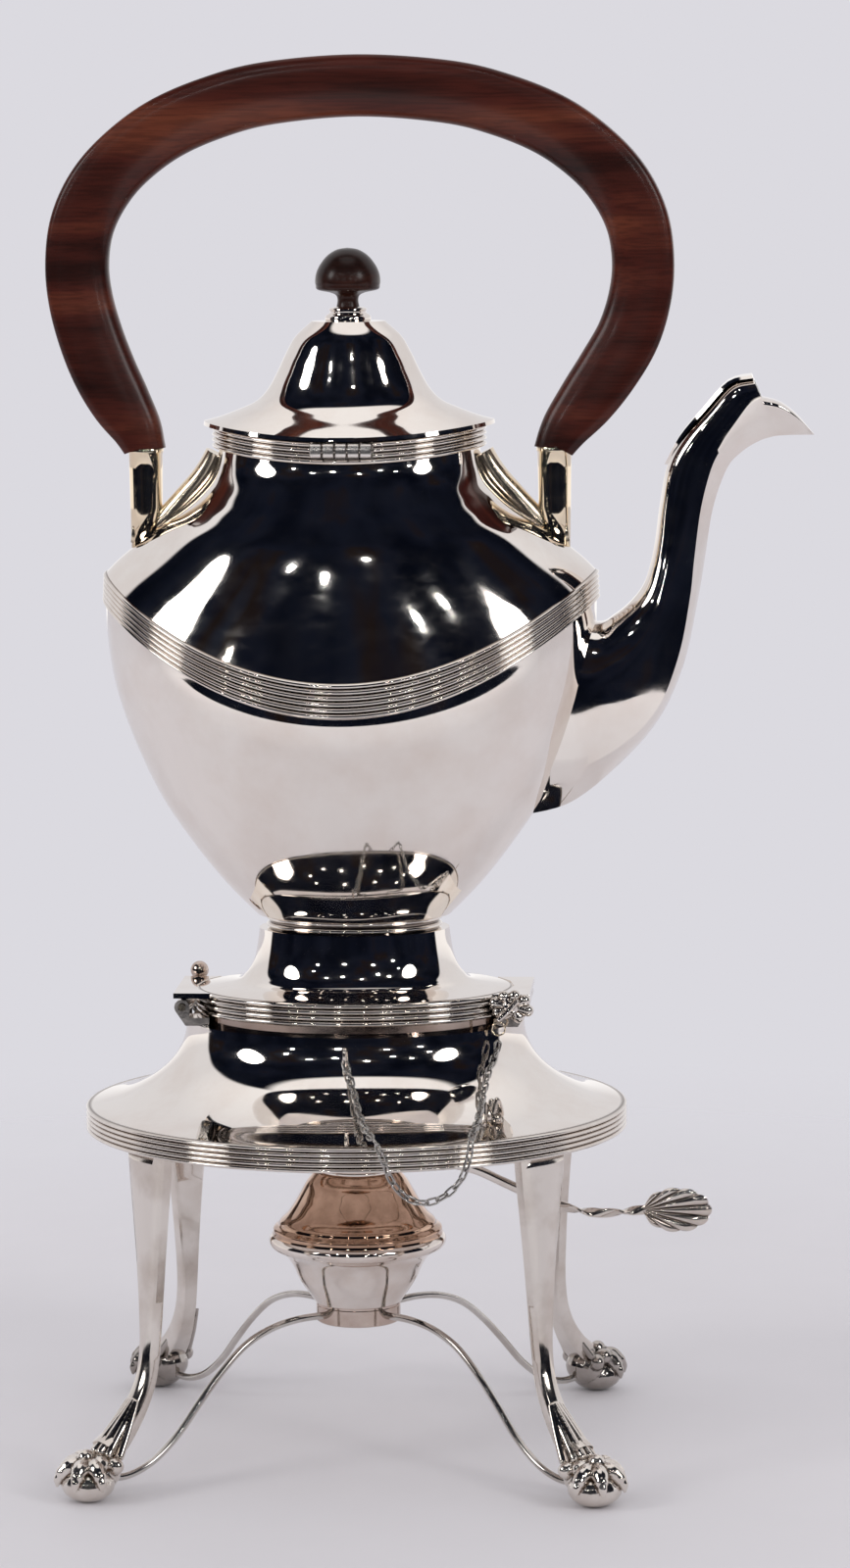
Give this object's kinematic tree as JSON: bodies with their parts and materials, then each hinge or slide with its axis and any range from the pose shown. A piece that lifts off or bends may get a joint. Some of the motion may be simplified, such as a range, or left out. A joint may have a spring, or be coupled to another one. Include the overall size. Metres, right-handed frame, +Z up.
{
  "type": "spirit kettle on stand",
  "caption": "Oval silver kettle with hinged lid, bail handle and spout, pinned to a legged stand with a spirit burner.",
  "frame": {"origin": "middle of the table plane under the burner", "axes": "+Z up, +X towards the spout, -Y towards the lid hinge (front)"},
  "size_m": [0.217, 0.1506, 0.4003],
  "materials": {
    "silver": "polished",
    "reeded_silver": "polished, darkened in the grooves",
    "warm_silver": "polished, warm toned",
    "tarnished_silver": "dull brown tarnish",
    "cast_silver": "satin",
    "rosewood": "polished",
    "cotton": "woven"
  },
  "bodies": {
    "stand": {"stand_dome": "silver", "stand_rim": "reeded_silver", "stand_collar": "tarnished_silver", "hinge_arms_left": "cast_silver", "hinge_arms_right": "cast_silver", "burner_ring": "tarnished_silver", "chain_anchor_front": "cast_silver", "chain_anchor_back": "cast_silver", "chain_front": "cast_silver", "chain_back": "cast_silver", "leg_fl": "cast_silver", "paw_fl": "cast_silver", "stretcher_fl": "cast_silver", "leg_fr": "cast_silver", "paw_fr": "cast_silver", "stretcher_fr": "cast_silver", "leg_bl": "cast_silver", "paw_bl": "cast_silver", "stretcher_bl": "cast_silver", "leg_br": "cast_silver", "paw_br": "cast_silver", "stretcher_br": "cast_silver"},
    "kettle": {"bowl": "silver", "shoulder_band": "reeded_silver", "shoulder": "silver", "mouth_rim": "reeded_silver", "spout": "silver", "spout_hood": "silver", "neck_collar": "reeded_silver", "kettle_foot": "silver", "foot_rim": "reeded_silver", "foot_lug_left": "warm_silver", "foot_lug_right": "warm_silver", "handle_socket_left": "warm_silver", "handle_socket_right": "warm_silver", "handle_grip": "rosewood", "rim_knuckles": "silver", "lid_hinge_pin": "silver"},
    "lid": {"lid": "silver", "lid_bezel": "silver", "lid_knuckles": "silver", "knob": "rosewood", "knob_collar": "silver", "knob_screw": "silver", "knob_nut": "silver"},
    "right_pin": {"right_pin": "warm_silver", "right_pin_head": "warm_silver", "right_pin_ring": "warm_silver"},
    "left_pin": {"left_pin": "warm_silver", "left_pin_head": "warm_silver", "left_pin_ring": "warm_silver"},
    "burner": {"burner_bowl": "tarnished_silver", "burner_cover": "tarnished_silver", "wick_tube": "tarnished_silver", "wick": "cotton"},
    "snuffer": {"snuffer_cap": "silver", "snuffer_handle": "silver", "snuffer_leaf": "cast_silver"}
  },
  "joints": [
    {"name": "kettle_tilt", "type": "hinge", "parent": "stand", "child": "kettle", "pos_m": [0.0485, 0, 0.131], "axis": [0, 1, 0], "range_deg": [0, 60]},
    {"name": "lid_hinge", "type": "hinge", "parent": "kettle", "child": "lid", "pos_m": [0, -0.0288, 0.2907], "axis": [1, 0, 0], "range_deg": [0, 105]},
    {"name": "right_pin_slide", "type": "slide", "parent": "stand", "child": "right_pin", "axis": [0, -1, 0], "range_m": [0, 0.034], "deforming": ["chain_front"]},
    {"name": "left_pin_slide", "type": "slide", "parent": "stand", "child": "left_pin", "axis": [0, 1, 0], "range_m": [0, 0.034], "deforming": ["chain_back"]},
    {"name": "burner_lift", "type": "slide", "parent": "stand", "child": "burner", "axis": [0, 0, 1], "range_m": [0, 0.008]},
    {"name": "snuffer_lift", "type": "slide", "parent": "burner", "child": "snuffer", "axis": [0, 0, 1], "range_m": [0, 0.012]}
  ]
}
